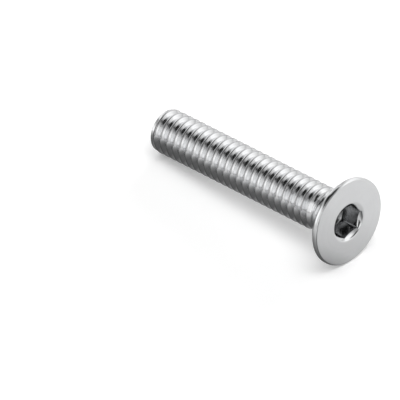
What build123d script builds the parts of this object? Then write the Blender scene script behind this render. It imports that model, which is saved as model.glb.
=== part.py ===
from build123d import *
from math import atan, ceil, cos, degrees, radians, sin, tan
import os

# A countersunk socket screw with a right-hand thread, one piece of steel. It is
# drawn standing on its flat face, with its axis along Z, and is then laid down: it
# rests on the lowest points of its rim and of its last full crest.
# Lengths are in millimetres and angles in degrees.

# Overall
screw_length = 16.5  # from the flat face to the end of the shank
screw_diameter = 3.0  # over the crests

# Thread
thread_pitch = 0.575
thread_depth = 0.35
thread_angle = 60
crest_start = 2.38  # from the flat face to where the crests reach full height
last_crest = 0.6  # from the end of the shank back to the crest that it rests on

# Head
head_diameter = 5.9
head_angle = 90
rim_width = 0.33  # height of the upright band round the head
rim_chamfer = 0.05  # on both edges of that band
neck_diameter = 2.65
neck_length = 0.15
neck_fillet = 0.22  # between the cone and the neck

# End of the shank
ring_diameter = 2.72
ring_width = 0.31
ring_chamfer = 0.16
run_out_angle = 45  # slope from the neck and from the ring down to the root

# Hexagon socket
socket_width = 2.0  # across the flats
socket_depth = 1.5
socket_mouth = 2.68  # diameter of the lead-in at the face
mouth_angle = 120
drill_diameter = 1.95
drill_angle = 118
socket_turn = 18  # from the side that it lies on to the nearest corner

# How forms are joined
bury = 0.02  # how far one form is sunk into the next
skim = 0.001  # how far the envelope stands off a full crest

# Worked out from the sizes above
head_radius = head_diameter / 2
neck_radius = neck_diameter / 2
crest_radius = screw_diameter / 2
root_radius = crest_radius - thread_depth
ring_radius = ring_diameter / 2
run_out_slope = tan(radians(run_out_angle))
cone_end = rim_width + (head_radius - neck_radius) / tan(radians(head_angle / 2))
neck_end = cone_end + neck_length
resting_crest = screw_length - last_crest

# One turn of the ridge, swept along a right-hand helix. Its first turn starts inside
# the head, a whole number of turns before the crest that the screw rests on.
turns_to_rest = ceil((resting_crest - cone_end) / thread_pitch)
turns_to_end = ceil(last_crest / thread_pitch)
thread_start = resting_crest - turns_to_rest * thread_pitch
half_base = (thread_depth + bury) * tan(radians(thread_angle / 2))

with BuildPart() as ridge:
    with BuildLine() as helix:
        Helix(thread_pitch, thread_pitch, root_radius, center=(0, 0, thread_start))
    with BuildSketch(Plane(helix.line @ 0, x_dir=(1, 0, 0), z_dir=(0, -1, 0))):
        with BuildLine():
            Polyline((-bury, -half_base), (thread_depth, 0), (-bury, half_base), close=True)
        make_face()
    sweep(path=helix.line, is_frenet=True)

# The threaded rod: a plain core with the ridge repeated turn after turn
with BuildPart() as rod:
    with BuildSketch(Plane.XY.offset(thread_start - thread_pitch)):
        Circle(root_radius)
    extrude(amount=screw_length)
    with Locations(*[(0, 0, turn * thread_pitch) for turn in range(turns_to_rest + turns_to_end)]):
        add(ridge.part)

# What the rod is trimmed to: its crests rise out of the neck at one end, and fade
# down to the core at the other
with BuildPart() as envelope:
    with BuildSketch(Plane.XZ):
        with BuildLine():
            Polyline(
                (0, cone_end - bury),
                (neck_radius - bury, cone_end - bury),
                (neck_radius - bury, neck_end - bury),
                (crest_radius + skim, crest_start),
                (crest_radius + skim, resting_crest),
                (root_radius, screw_length - bury),
                (0, screw_length - bury),
                close=True,
            )
        make_face()
    revolve(axis=Axis.Z)

with BuildPart() as head:
    with BuildSketch(Plane.XZ) as head_profile:
        with BuildLine():
            Polyline(
                (0, 0),
                (head_radius, 0),
                (head_radius, rim_width),
                (neck_radius, cone_end),
                (neck_radius, neck_end),
                (0, neck_end + neck_radius / run_out_slope),
                close=True,
            )
        make_face()
        chamfer(head_profile.vertices().group_by(Axis.X)[-1], rim_chamfer)
        fillet(head_profile.vertices().sort_by_distance((neck_radius, cone_end))[0], neck_fillet)
    revolve(axis=Axis.Z)

# A plain ring closes the last groove at the end of the shank
with BuildPart() as end_ring:
    with BuildSketch(Plane.XZ) as ring_profile:
        with BuildLine():
            Polyline(
                (0, screw_length),
                (ring_radius, screw_length),
                (ring_radius, screw_length - ring_width),
                (0, screw_length - ring_width - ring_radius / run_out_slope),
                close=True,
            )
        make_face()
        chamfer(ring_profile.vertices().sort_by_distance((ring_radius, screw_length))[0], ring_chamfer)
    revolve(axis=Axis.Z)

# The socket: a hexagon, the drill point below it, and a conical mouth
with BuildPart() as socket:
    with BuildSketch(Plane.XY):
        RegularPolygon(socket_width / 2, 6, major_radius=False, rotation=socket_turn)
    extrude(amount=socket_depth)
    with BuildSketch(Plane.XZ):
        with BuildLine():
            drill_radius = drill_diameter / 2
            Polyline(
                (0, 0),
                (drill_radius, 0),
                (drill_radius, socket_depth),
                (0, socket_depth + drill_radius / tan(radians(drill_angle / 2))),
                close=True,
            )
        make_face()
        with BuildLine():
            mouth_radius = socket_mouth / 2
            Polyline((0, 0), (mouth_radius, 0), (0, mouth_radius / tan(radians(mouth_angle / 2))), close=True)
        make_face()
    revolve(axis=Axis.Z)

with BuildPart() as upright:
    add(envelope.part)
    add(rod.part, mode=Mode.INTERSECT)
    add(head.part)
    add(end_ring.part)
    add(socket.part, mode=Mode.SUBTRACT)

# Lay the screw down with its face toward +X. It lies on the side where the helix
# starts, and the slope of its axis follows from the two points that it rests on.
rim_contact = rim_width - rim_chamfer
slope = atan((head_radius - crest_radius) / (resting_crest - rim_contact))
lying = Plane(
    origin=(0, 0, rim_contact * sin(slope) + head_radius * cos(slope)),
    x_dir=(sin(slope), 0, -cos(slope)),
    z_dir=(-cos(slope), 0, -sin(slope)),
)
resting = upright.part.moved(lying.location)
middle = resting.bounding_box().center().X

# The origin is on the ground, below the middle of the screw's length
with BuildPart() as screw:
    add(resting.moved(Location((-middle, 0, 0))))

print("slope of the axis:", round(degrees(slope), 3), "degrees")
print("centre of the face:", round(-middle, 4), 0, round(lying.origin.Z, 4))
print("lowest point:", round(screw.part.bounding_box().min.Z, 5))
os.makedirs("parts", exist_ok=True)
screw.part.label = "screw"
export_step(screw.part, "parts/screw.step")
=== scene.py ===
import math
import bmesh
import bpy
from mathutils import Matrix, Vector


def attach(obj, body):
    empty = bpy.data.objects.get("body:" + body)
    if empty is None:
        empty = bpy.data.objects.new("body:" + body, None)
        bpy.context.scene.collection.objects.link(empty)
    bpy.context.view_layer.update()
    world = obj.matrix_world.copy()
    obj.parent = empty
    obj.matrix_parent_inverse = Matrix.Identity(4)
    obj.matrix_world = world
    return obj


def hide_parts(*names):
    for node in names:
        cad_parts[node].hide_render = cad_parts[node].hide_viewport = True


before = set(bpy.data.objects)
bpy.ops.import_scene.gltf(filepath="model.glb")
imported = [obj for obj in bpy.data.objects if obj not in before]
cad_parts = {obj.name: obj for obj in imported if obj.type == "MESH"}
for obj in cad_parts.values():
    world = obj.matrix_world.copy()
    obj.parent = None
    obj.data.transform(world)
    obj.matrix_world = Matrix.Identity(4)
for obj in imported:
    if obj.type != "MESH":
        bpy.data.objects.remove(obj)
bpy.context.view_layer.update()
print("loaded the frame")

# The screw is shaped upright in millimetres, with its flat face at z = 0 and its end up,
# and is laid down on the floor at the end. Angles are in degrees.
screw = {
    "segments": 120,           # round the axis, and to one turn of the thread
    "length": 16.5,
    "hold": 0.012,             # from a rounded edge to the loop that keeps a flat face flat
    "merge": 1e-4,             # points as near as this are one
    "crestRadius": 1.499,      # a little under 1.5, so that no crest dips below the floor
    "rootRadius": 1.15,
    "pitch": 0.575,
    "crestFlat": 0.09,
    "crestRounding": 0.04,
    "rootRounding": 0.05,
    "flankSlope": 30,
    "restingCrest": 15.9,      # the crest that lies on the floor
    "leadIn": 25,              # turns from there back to the first one
    "turns": 27,
    "fullCrest": 2.38,         # where the crests reach their height behind the head
    "fadeStart": 16.2,         # where they start to fade at the end
    "fadeEnd": 16.7,           # and where they would be down to the root
    "runOut": 45,
    "blend": 0.02,             # softness of the run-outs
    "headRadius": 2.945,
    "rimWidth": 0.33,
    "rimRounding": 0.07,
    "faceRounding": 0.1,
    "coneEnd": 1.955,
    "neckRadius": 1.325,
    "neckEnd": 2.105,
    "neckRounding": 0.09,
    "ringRadius": 1.445,
    "ringStart": 16.24,
    "ringRounding": 0.03,
    "bevelStart": 16.42,
    "endRadius": 1.225,
    "socketFlats": 2.0,
    "socketDepth": 1.5,
    "mouthRadius": 1.34,
    "mouthAngle": 120,
    "mouthRounding": 0.06,
    "mouthLip": 0.05,          # from the mouth's edge to the loop that the socket grows from
    "drillRadius": 0.975,
    "drillAngle": 118,
    "cornerTurn": 18,
    "faceSkin": 0.002,         # how near the flat face the mesh takes its finish
    "mouthSkin": 0.005,        # how far below the mouth's cone the socket's finish starts
    "slope": 5.304,            # of the axis, once it lies
    "faceCentre": (8.1361, 0, 2.9633),
}


def drawProfile(bm, points):
    # a line of radius and height pairs, ready to be spun round the axis
    verts = [bm.verts.new((radius, 0, z)) for radius, z in points]
    for a, b in zip(verts, verts[1:]):
        bm.edges.new((a, b))
    return verts


def roundCorner(bm, vert, offset, segments):
    bmesh.ops.bevel(bm, geom=[vert], offset=offset, segments=segments, profile=0.5,
                    affect="VERTICES", material=-1)


def spinProfile(bm):
    bmesh.ops.spin(bm, geom=bm.verts[:] + bm.edges[:], cent=(0, 0, 0), axis=(0, 0, 1),
                   angle=math.tau, steps=screw["segments"], use_merge=True)


def trimmedRadius(radius, z):
    # keeps the thread under its full crests and above the neck and the end ring
    rise = (screw["crestRadius"] - screw["neckRadius"]) / (screw["fullCrest"] - screw["neckEnd"])
    fade = (screw["crestRadius"] - screw["rootRadius"]) / (screw["fadeEnd"] - screw["fadeStart"])
    slope = math.tan(math.radians(screw["runOut"]))
    high = min(screw["neckRadius"] + (z - screw["neckEnd"]) * rise,
               screw["crestRadius"] - (z - screw["fadeStart"]) * fade)
    low = max(screw["neckRadius"] - (z - screw["neckEnd"]) * slope,
              screw["ringRadius"] - (screw["ringStart"] - z) * slope)
    radius = min(radius, high, screw["crestRadius"])
    if low < screw["rootRadius"] - 4 * screw["blend"]:  # too far below to blend with
        return radius
    apart = radius - low
    blended = (radius + low + math.sqrt(apart ** 2 + screw["blend"] ** 2)) / 2
    return min(blended, screw["crestRadius"])


def makeThread():
    bm = bmesh.new()
    crestZ = screw["crestFlat"] / 2
    depth = screw["crestRadius"] - screw["rootRadius"]
    footZ = crestZ + depth * math.tan(math.radians(screw["flankSlope"]))
    middle = screw["restingCrest"] - screw["leadIn"] * screw["pitch"]
    half = [
        (screw["rootRadius"], screw["pitch"] / 2),
        (screw["rootRadius"], footZ),
        (screw["crestRadius"], crestZ),
    ]
    below = [(radius, middle - z) for radius, z in half]
    above = [(radius, middle + z) for radius, z in reversed(half)]
    verts = drawProfile(bm, below + above)
    for corner, rounding in ((1, "root"), (2, "crest"), (3, "crest"), (4, "root")):
        roundCorner(bm, verts[corner], screw[rounding + "Rounding"], 3)
    bmesh.ops.spin(bm, geom=bm.verts[:] + bm.edges[:], cent=(0, 0, 0), axis=(0, 0, 1),
                   dvec=(0, 0, screw["pitch"] / screw["segments"]), angle=math.tau,
                   steps=screw["segments"])
    oneTurn = bm.verts[:] + bm.edges[:] + bm.faces[:]
    for turn in range(1, screw["turns"]):
        copied = bmesh.ops.duplicate(bm, geom=oneTurn)["geom"]
        bmesh.ops.translate(bm, vec=(0, 0, turn * screw["pitch"]),
                            verts=[g for g in copied if isinstance(g, bmesh.types.BMVert)])
    bmesh.ops.remove_doubles(bm, verts=bm.verts[:], dist=screw["merge"])
    for z, side in ((screw["neckEnd"], -1), (screw["ringStart"], 1)):
        bmesh.ops.bisect_plane(bm, geom=bm.verts[:] + bm.edges[:] + bm.faces[:], dist=1e-5,
                               plane_co=(0, 0, z), plane_no=(0, 0, side), clear_outer=True)
    for v in bm.verts:
        radius = v.co.xy.length
        if v.co.z < screw["neckEnd"] + screw["merge"]:
            wanted = screw["neckRadius"]
        elif v.co.z > screw["ringStart"] - screw["merge"]:
            wanted = screw["ringRadius"]
        else:
            wanted = trimmedRadius(radius, v.co.z)
        v.co.xy *= wanted / radius
    return bm


def makeHead():
    bm = bmesh.new()
    hold = screw["hold"]
    coneTop = Vector((screw["neckRadius"], screw["coneEnd"]))
    coneFoot = Vector((screw["headRadius"], screw["rimWidth"]))
    down = (coneFoot - coneTop).normalized()
    mouthSlope = math.tan(math.radians(screw["mouthAngle"] / 2))
    verts = drawProfile(bm, [
        (screw["neckRadius"], screw["neckEnd"]),
        coneTop,
        coneTop + down * (screw["neckRounding"] + hold),
        coneFoot - down * (screw["rimRounding"] + hold),
        coneFoot,
        (screw["headRadius"], 0),
        (screw["headRadius"] - screw["faceRounding"] - hold, 0),
        (screw["mouthRadius"] + screw["mouthRounding"] + hold, 0),
        (screw["mouthRadius"], 0),
        (screw["mouthRadius"] - screw["mouthLip"], screw["mouthLip"] / mouthSlope),
    ])
    # corners of the profile by their place in it
    for corner, offset, segments in (
        (1, screw["neckRounding"], 4),
        (4, screw["rimRounding"], 4),
        (5, screw["faceRounding"], 4),
        (8, screw["mouthRounding"], 2),
    ):
        roundCorner(bm, verts[corner], offset, segments)
    spinProfile(bm)
    return bm


def makeEnd():
    bm = bmesh.new()
    verts = drawProfile(bm, [
        (screw["ringRadius"], screw["ringStart"]),
        (screw["ringRadius"], screw["bevelStart"]),
        (screw["endRadius"], screw["length"]),
        (screw["endRadius"] - screw["ringRounding"] - screw["hold"], screw["length"]),
        (0, screw["length"]),
    ])
    for vert in verts[1:3]:
        roundCorner(bm, vert, screw["ringRounding"], 3)
    spinProfile(bm)
    bmesh.ops.remove_doubles(bm, verts=bm.verts[:], dist=screw["merge"])
    return bm


def addMesh(bm, other):
    mesh = bpy.data.meshes.new("half")
    other.to_mesh(mesh)
    other.free()
    bm.from_mesh(mesh)
    bpy.data.meshes.remove(mesh)


def closeSeam(bm, z):
    # the cut loop of the thread has a few points between the even ones of its neighbour
    def openLoop():
        return [v for v in bm.verts if v.is_boundary and abs(v.co.z - z) < 10 * screw["merge"]]

    def isEven(v):
        step = math.atan2(v.co.y, v.co.x) / math.tau * screw["segments"]
        return abs(step - round(step)) < 1e-2

    loop = openLoop()
    even = [v for v in loop if isEven(v)]
    extra = {v: min(even, key=lambda w: (w.co - v.co).length) for v in loop if not isEven(v)}
    bmesh.ops.weld_verts(bm, targetmap=extra)
    bmesh.ops.remove_doubles(bm, verts=openLoop(), dist=20 * screw["merge"])


def sinkSocket(bm):
    mouthSlope = math.tan(math.radians(screw["mouthAngle"] / 2))
    drillDepth = screw["drillRadius"] / math.tan(math.radians(screw["drillAngle"] / 2))
    sixth = math.tau / 6

    def hexagon(v):
        angle = (math.atan2(v.co.y, v.co.x) - math.radians(screw["cornerTurn"])) % sixth
        return screw["socketFlats"] / 2 / math.cos(angle - sixth / 2)

    def mouth(radius):
        return (screw["mouthRadius"] - radius) / mouthSlope

    # down the socket, the radius of each loop and its depth
    steps = (
        (hexagon, mouth),
        (hexagon, lambda radius: mouth(radius) + screw["hold"]),
        (hexagon, lambda radius: screw["socketDepth"] - screw["hold"]),
        (hexagon, lambda radius: screw["socketDepth"]),
        (lambda v: screw["drillRadius"], lambda radius: screw["socketDepth"]),
        (lambda v: 1e-6, lambda radius: screw["socketDepth"] + drillDepth),
    )
    for radiusAt, depthAt in steps:
        rim = [e for e in bm.edges if e.is_boundary]
        sunk = bmesh.ops.extrude_edge_only(bm, edges=rim)["geom"]
        for v in (g for g in sunk if isinstance(g, bmesh.types.BMVert)):
            radius = radiusAt(v)
            v.co.z = depthAt(radius)
            v.co.xy *= radius / v.co.xy.length
    bmesh.ops.remove_doubles(bm, verts=bm.verts[:], dist=1e-5)


def lyingMatrix():
    # upright to lying: the side of the resting crest goes down, the end of the shank to -X
    tilt = math.radians(screw["slope"])
    turn = Matrix((
        (math.sin(tilt), 0, -math.cos(tilt)),
        (0, -1, 0),
        (-math.cos(tilt), 0, -math.sin(tilt)),
    ))
    return Matrix.Translation(screw["faceCentre"]) @ turn.to_4x4()


# What the finishes share: the tint of the steel, and the spans of the unevenness, half of it
# smudges, over which the tone and the roughness change
steel = {
    "tint": (1, 1.008, 1.018),
    "smudgeShare": 0.5,
    "toneSpan": (0.38, 0.62),
    "roughSpan": (0.36, 0.64),
}

# Each finish has two tones of steel and the least and most roughness. Its cut lines are
# so many to a millimetre, run so far round or along before they change, and are so many
# thousandths of a millimetre deep; the smudges and the grain have sizes per millimetre.
# The crests of a rolled thread carry painted shade: from one radius to another their tone is darkened by
# a share, standing in for the dark lines that reflections draw along them, and they get more roughness.
finishes = {
    "polishedFace": {"tones": (0.72, 0.75), "roughness": (0.10, 0.15), "flow": "turned",
                     "lines": 9, "run": 0.7, "cut": 0.10, "smudges": 0.7, "grain": 30, "pits": 0.05},
    "turnedHead": {"tones": (0.69, 0.75), "roughness": (0.08, 0.15), "flow": "turned",
                   "lines": 11, "run": 1.4, "cut": 0.35, "smudges": 1.1, "grain": 22, "pits": 0.25},
    "rolledThread": {"tones": (0.69, 0.76), "roughness": (0.06, 0.12), "flow": "rolled",
                     "lines": 26, "run": 1.6, "cut": 0.30, "smudges": 1.6, "grain": 24, "pits": 0.20,
                     "crest": (1.455, 1.485, 0.66, 0.03)},
    # painted shade: the socket's tones are set darker than the rest of the steel, for the shade in its
    # hollow
    "pressedSocketPaintedShade": {"tones": (0.45, 0.58), "roughness": (0.06, 0.14), "flow": "pressed",
                      "lines": 9, "run": 0.5, "cut": 0.60, "smudges": 1.8, "grain": 24, "pits": 0.25},
}


def addNode(tree, kind, inputs, **options):
    node = tree.nodes.new(kind)
    for key, value in options.items():
        setattr(node, key, value)
    for key, value in inputs.items():
        if isinstance(value, bpy.types.NodeSocket):
            tree.links.new(value, node.inputs[key])
        else:
            node.inputs[key].default_value = value
    return node


def maths(tree, operation, *values):
    return addNode(tree, "ShaderNodeMath", dict(enumerate(values)), operation=operation).outputs[0]


def mixed(tree, share, first, second):
    return addNode(tree, "ShaderNodeMix", {0: share, 2: first, 3: second}).outputs[0]


def lightPath(tree):
    # the kinds of ray, and whether one of them comes off metal or through glass
    rays = addNode(tree, "ShaderNodeLightPath", {}).outputs
    return rays, maths(tree, "MAXIMUM", rays["Is Glossy Ray"], rays["Is Transmission Ray"])


def makeFinish(name):
    finish = finishes[name]
    mat = bpy.data.materials.new(name)
    mat.use_nodes = True
    tree = mat.node_tree
    shader = tree.nodes["Principled BSDF"]
    shader.inputs["Metallic"].default_value = 1

    def vector(operation, *values):
        return addNode(tree, "ShaderNodeVectorMath", dict(enumerate(values)), operation=operation)

    def noise(at, scale, detail):
        made = addNode(tree, "ShaderNodeTexNoise", {"Vector": at, "Scale": scale, "Detail": detail})
        return made.outputs["Fac"]

    # millimetres in the upright screw
    upright = lyingMatrix()
    place = addNode(tree, "ShaderNodeTexCoord", {}).outputs["Object"]
    local = addNode(tree, "ShaderNodeMapping", {
        "Vector": place,
        "Location": upright.translation * 0.001,
        "Rotation": upright.to_euler(),
        "Scale": (0.001, 0.001, 0.001),
    }, vector_type="TEXTURE").outputs[0]
    if finish["flow"] == "pressed":
        flow = vector("MULTIPLY", local, (finish["lines"], finish["lines"], finish["run"])).outputs[0]
    else:
        across = vector("MULTIPLY", local, (1, 1, 0)).outputs[0]
        radius = vector("LENGTH", across).outputs["Value"]
        around = vector("NORMALIZE", across).outputs[0]
        profile = radius
        if finish["flow"] == "turned":
            height = addNode(tree, "ShaderNodeSeparateXYZ", {"Vector": local}).outputs["Z"]
            profile = maths(tree, "SUBTRACT", height, radius)
        profile = maths(tree, "MULTIPLY", profile, finish["lines"])
        steps = addNode(tree, "ShaderNodeCombineXYZ", {"Z": profile}).outputs[0]
        flow = vector("MULTIPLY_ADD", around, (finish["run"],) * 3, steps).outputs[0]
    lines = noise(flow, 1, 4)
    smudges = noise(local, finish["smudges"], 3)
    grain = noise(local, finish["grain"], 2)
    uneven = mixed(tree, steel["smudgeShare"], lines, smudges)

    ramp = addNode(tree, "ShaderNodeValToRGB", {"Fac": uneven})
    for stop, tone, at in zip(ramp.color_ramp.elements, finish["tones"], steel["toneSpan"]):
        stop.color = [tone * tint for tint in steel["tint"]] + [1]
        stop.position = at
    colour = ramp.outputs["Color"]
    rough = addNode(tree, "ShaderNodeMapRange", {
        "Value": uneven, "From Min": steel["roughSpan"][0], "From Max": steel["roughSpan"][1],
        "To Min": finish["roughness"][0], "To Max": finish["roughness"][1],
    }).outputs["Result"]
    # painted shade: between the two radii the crests' colour is darkened by a share, for the dark lines
    # along them; their roughness also rises
    if "crest" in finish:
        inner, outer, share, duller = finish["crest"]
        crest = addNode(tree, "ShaderNodeMapRange", {
            "Value": radius, "From Min": inner, "From Max": outer}).outputs["Result"]
        crestPaintedShade = vector("MULTIPLY", colour, (share,) * 3).outputs[0]
        colour = addNode(tree, "ShaderNodeMix", {0: crest, 6: colour, 7: crestPaintedShade},
                         data_type="RGBA").outputs[2]
        rough = maths(tree, "MULTIPLY_ADD", crest, duller, rough)
    tree.links.new(colour, shader.inputs["Base Color"])
    tree.links.new(rough, shader.inputs["Roughness"])
    cut = addNode(tree, "ShaderNodeBump", {"Height": lines, "Distance": finish["cut"] * 1e-6})
    pits = addNode(tree, "ShaderNodeBump", {"Height": grain, "Distance": finish["pits"] * 1e-6,
                                            "Normal": cut.outputs["Normal"]})
    tree.links.new(pits.outputs["Normal"], shader.inputs["Normal"])
    return mat


def finishOf(face):
    middle = face.calc_center_median()
    radius = middle.xy.length
    chamferDepth = (screw["mouthRadius"] - radius) / math.tan(math.radians(screw["mouthAngle"] / 2))
    inSocket = radius < screw["mouthRadius"] - 3 * screw["mouthLip"] and middle.z < screw["neckEnd"]
    if inSocket and middle.z > chamferDepth + screw["mouthSkin"]:
        return "pressedSocketPaintedShade"
    if middle.z < screw["faceSkin"]:
        return "polishedFace"
    if screw["neckEnd"] < middle.z < screw["ringStart"]:
        return "rolledThread"
    return "turnedHead"


def makeScrew():
    bm = makeThread()
    print("thread:", len(bm.faces), "faces")
    addMesh(bm, makeHead())
    addMesh(bm, makeEnd())
    closeSeam(bm, screw["neckEnd"])
    closeSeam(bm, screw["ringStart"])
    sinkSocket(bm)
    bmesh.ops.recalc_face_normals(bm, faces=bm.faces[:])
    slots = list(finishes)
    for face in bm.faces:
        face.smooth = True
        face.material_index = slots.index(finishOf(face))
    print("screw:", len(bm.faces), "faces,", sum(not e.is_manifold for e in bm.edges), "open edges")
    bmesh.ops.transform(bm, matrix=Matrix.Scale(0.001, 4) @ lyingMatrix(), verts=bm.verts[:])
    mesh = bpy.data.meshes.new("screwBody")
    bm.to_mesh(mesh)
    bm.free()
    for name in slots:
        mesh.materials.append(makeFinish(name))
    piece = bpy.data.objects.new("screwBody", mesh)
    bpy.context.collection.objects.link(piece)
    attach(piece, "root")
    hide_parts("screw")


makeScrew()

# The floor is pale, and a little light of its own makes it white to the camera. Metal sees the floor
# with painted shade: its tone goes by y across the screw, darkest near the screw's front side and
# lighter behind; the stops give y in millimetres and tone.
floor = {
    "halfSize": 0.35,
    "pale": 0.8,
    "lift": 0.3,
    "paintedShadeGrade": ((-24, 0.68), (-12, 0.58), (-6, 0.28), (-3, 0.13), (-1.6, 0.13),
               (-0.7, 0.45), (0.5, 0.62), (4.5, 0.75), (8, 0.80)),
}


def makeFloorFinish():
    mat = bpy.data.materials.new("paleFloor")
    mat.use_nodes = True
    tree = mat.node_tree
    tree.nodes.clear()
    rays, mirrored = lightPath(tree)
    place = addNode(tree, "ShaderNodeTexCoord", {}).outputs["Object"]
    across = addNode(tree, "ShaderNodeSeparateXYZ", {"Vector": place}).outputs["Y"]
    stops = floor["paintedShadeGrade"]
    start, end = stops[0][0], stops[-1][0]
    along = addNode(tree, "ShaderNodeMapRange", {"Value": across, "From Min": start * 0.001,
                                                 "From Max": end * 0.001}).outputs["Result"]
    ramp = addNode(tree, "ShaderNodeValToRGB", {"Fac": along})
    elements = ramp.color_ramp.elements
    while len(elements) < len(stops):
        elements.new(1)
    for element, (y, tone) in zip(elements, stops):
        element.position = (y - start) / (end - start)
        element.color = (tone, tone, tone, 1)
    # painted shade: rays off the metal see the floor's tone and its lift darkened by the grade in y,
    # while the camera sees it plain
    tone = mixed(tree, mirrored, 1, ramp.outputs["Color"])
    pale = maths(tree, "MULTIPLY", tone, floor["pale"])
    seen = maths(tree, "MAXIMUM", mirrored, rays["Is Camera Ray"])
    lift = maths(tree, "MULTIPLY", maths(tree, "MULTIPLY", seen, tone), floor["lift"])
    matt = addNode(tree, "ShaderNodeBsdfDiffuse", {"Color": pale}).outputs[0]
    glow = addNode(tree, "ShaderNodeEmission", {"Strength": lift}).outputs[0]
    both = addNode(tree, "ShaderNodeAddShader", {0: matt, 1: glow}).outputs[0]
    addNode(tree, "ShaderNodeOutputMaterial", {"Surface": both})
    return mat


def makeFloor():
    bm = bmesh.new()
    bmesh.ops.create_grid(bm, x_segments=1, y_segments=1, size=floor["halfSize"])
    mesh = bpy.data.meshes.new("floor")
    bm.to_mesh(mesh)
    bm.free()
    mesh.materials.append(makeFloorFinish())
    ground = bpy.data.objects.new("floor", mesh)
    bpy.context.collection.objects.link(ground)
    print("floor made")


makeFloor()

# The studio that the metal reflects: a grey room with soft panels, and flags that take
# light away. Each has an azimuth from +X, an elevation, a width, a height, the softness
# of its edge and its light.
studio = {
    "room": 0.40,
    "darkest": 0.03,
    "fill": 0.08,              # the light of the room on the floor
    "panels": {
        "back": (77, 28, 116, 68, 30, 0.93),
        "backTop": (165, 43, 40, 10, 10, 0.95),
        "backLeft": (162, 11, 34, 37, 8, 0.75),
        "left": (223, 10, 32, 44, 24, 1.01),
        "front": (284, 25, 46, 48, 17, 1.10),
        "frontTop": (254, 54, 19, 16, 10, 0.29),
        "right": (345, 9, 22, 28, 17, 1.30),
        "topFlag": (202, 61, 108, 47, 8, -0.42),
        "rightFlag": (322, -18, 94, 77, 10, -0.42),
        "frontFlag": (306, 35, 76, 26, 12, -0.35),
        "backFlag": (86, 3, 54, 39, 30, -0.49),
        "wallFlag": (19, 21, 30, 20, 10, -0.90),
        "zenithFlag": (0, 86, 400, 18, 8, -0.40),
    },
}


def makeWorld():
    world = bpy.data.worlds.new("studio")
    bpy.context.scene.world = world
    world.use_nodes = True
    tree = world.node_tree
    background = tree.nodes["Background"]

    def edge(distance, size, softness):
        # 1 inside the panel, and down to 0 past its edge
        half, soft = math.radians(size / 2), math.radians(softness / 2)
        return addNode(tree, "ShaderNodeMapRange", {
            "Value": maths(tree, "ABSOLUTE", distance), "From Min": half + soft, "From Max": half - soft,
        }, interpolation_type="SMOOTHSTEP").outputs["Result"]

    towards = addNode(tree, "ShaderNodeTexCoord", {}).outputs["Generated"]
    parts = addNode(tree, "ShaderNodeSeparateXYZ", {"Vector": towards}).outputs
    azimuth = maths(tree, "ARCTAN2", parts["Y"], parts["X"])
    elevation = maths(tree, "ARCSINE", parts["Z"])
    total = studio["room"]
    for at, up, width, height, softness, light in studio["panels"].values():
        sideways = maths(tree, "SUBTRACT", azimuth, math.radians(at))
        sideways = maths(tree, "WRAP", sideways, math.pi, -math.pi)
        upwards = maths(tree, "SUBTRACT", elevation, math.radians(up))
        panel = maths(tree, "MULTIPLY", edge(sideways, width, softness), edge(upwards, height, softness))
        total = maths(tree, "MULTIPLY_ADD", panel, light, total)
    total = maths(tree, "MAXIMUM", total, studio["darkest"])
    rays, mirrored = lightPath(tree)
    white = mixed(tree, rays["Is Camera Ray"], mixed(tree, mirrored, studio["fill"], total), 1)
    tree.links.new(white, background.inputs["Strength"])
    background.inputs["Color"].default_value = (1, 1, 1, 1)
    print("studio made")


makeWorld()


def standAt(thing, azimuth, elevation, distance, aim=(0, 0, 0)):
    # azimuth from +X; lamps and cameras look along their own -Z
    a, e = math.radians(azimuth), math.radians(elevation)
    back = Vector((math.cos(a) * math.cos(e), math.sin(a) * math.cos(e), math.sin(e)))
    thing.location = Vector(aim) + back * distance
    thing.rotation_mode = "QUATERNION"
    thing.rotation_quaternion = back.to_track_quat("Z", "Y")
    bpy.context.collection.objects.link(thing)


# Soft lamps for the floor and its shadow: azimuth, elevation, width across in degrees, and
# the share of a white floor's light that each gives.
lamps = {
    "distance": 1.0,
    "each": {
        "overhead": (0, 82, 36, 0.20),
        "backRight": (30, 62, 40, 0.16),
        "left": (210, 62, 40, 0.22),
        "right": (330, 62, 40, 0.28),
        "back": (100, 17, 34, 0.16),
    },
}


def makeLamps():
    distance = lamps["distance"]
    for name, (azimuth, elevation, width, share) in lamps["each"].items():
        data = bpy.data.lights.new(name, "AREA")
        data.shape = "DISK"
        data.size = 2 * distance * math.tan(math.radians(width / 2))
        data.energy = share * math.pi ** 2 * distance ** 2 / math.sin(math.radians(elevation))
        lamp = bpy.data.objects.new(name, data)
        lamp.visible_camera = False
        lamp.visible_glossy = False
        standAt(lamp, azimuth, elevation, distance)


makeLamps()

camera = {
    "azimuth": 315.216,
    "elevation": 37.75,
    "aim": (-0.00516377, 0, -0.00256296),
    "distance": 0.45,
    "lens": 628.2,
    "sensor": 36,
    "clip": (0.01, 10),
}


def makeCamera():
    data = bpy.data.cameras.new("camera")
    data.lens = camera["lens"]
    data.sensor_width = camera["sensor"]
    data.clip_start, data.clip_end = camera["clip"]
    eye = bpy.data.objects.new("camera", data)
    standAt(eye, camera["azimuth"], camera["elevation"], camera["distance"], camera["aim"])
    bpy.context.scene.camera = eye


makeCamera()
bpy.context.scene.view_settings.view_transform = "Standard"
print("lamps and camera made")
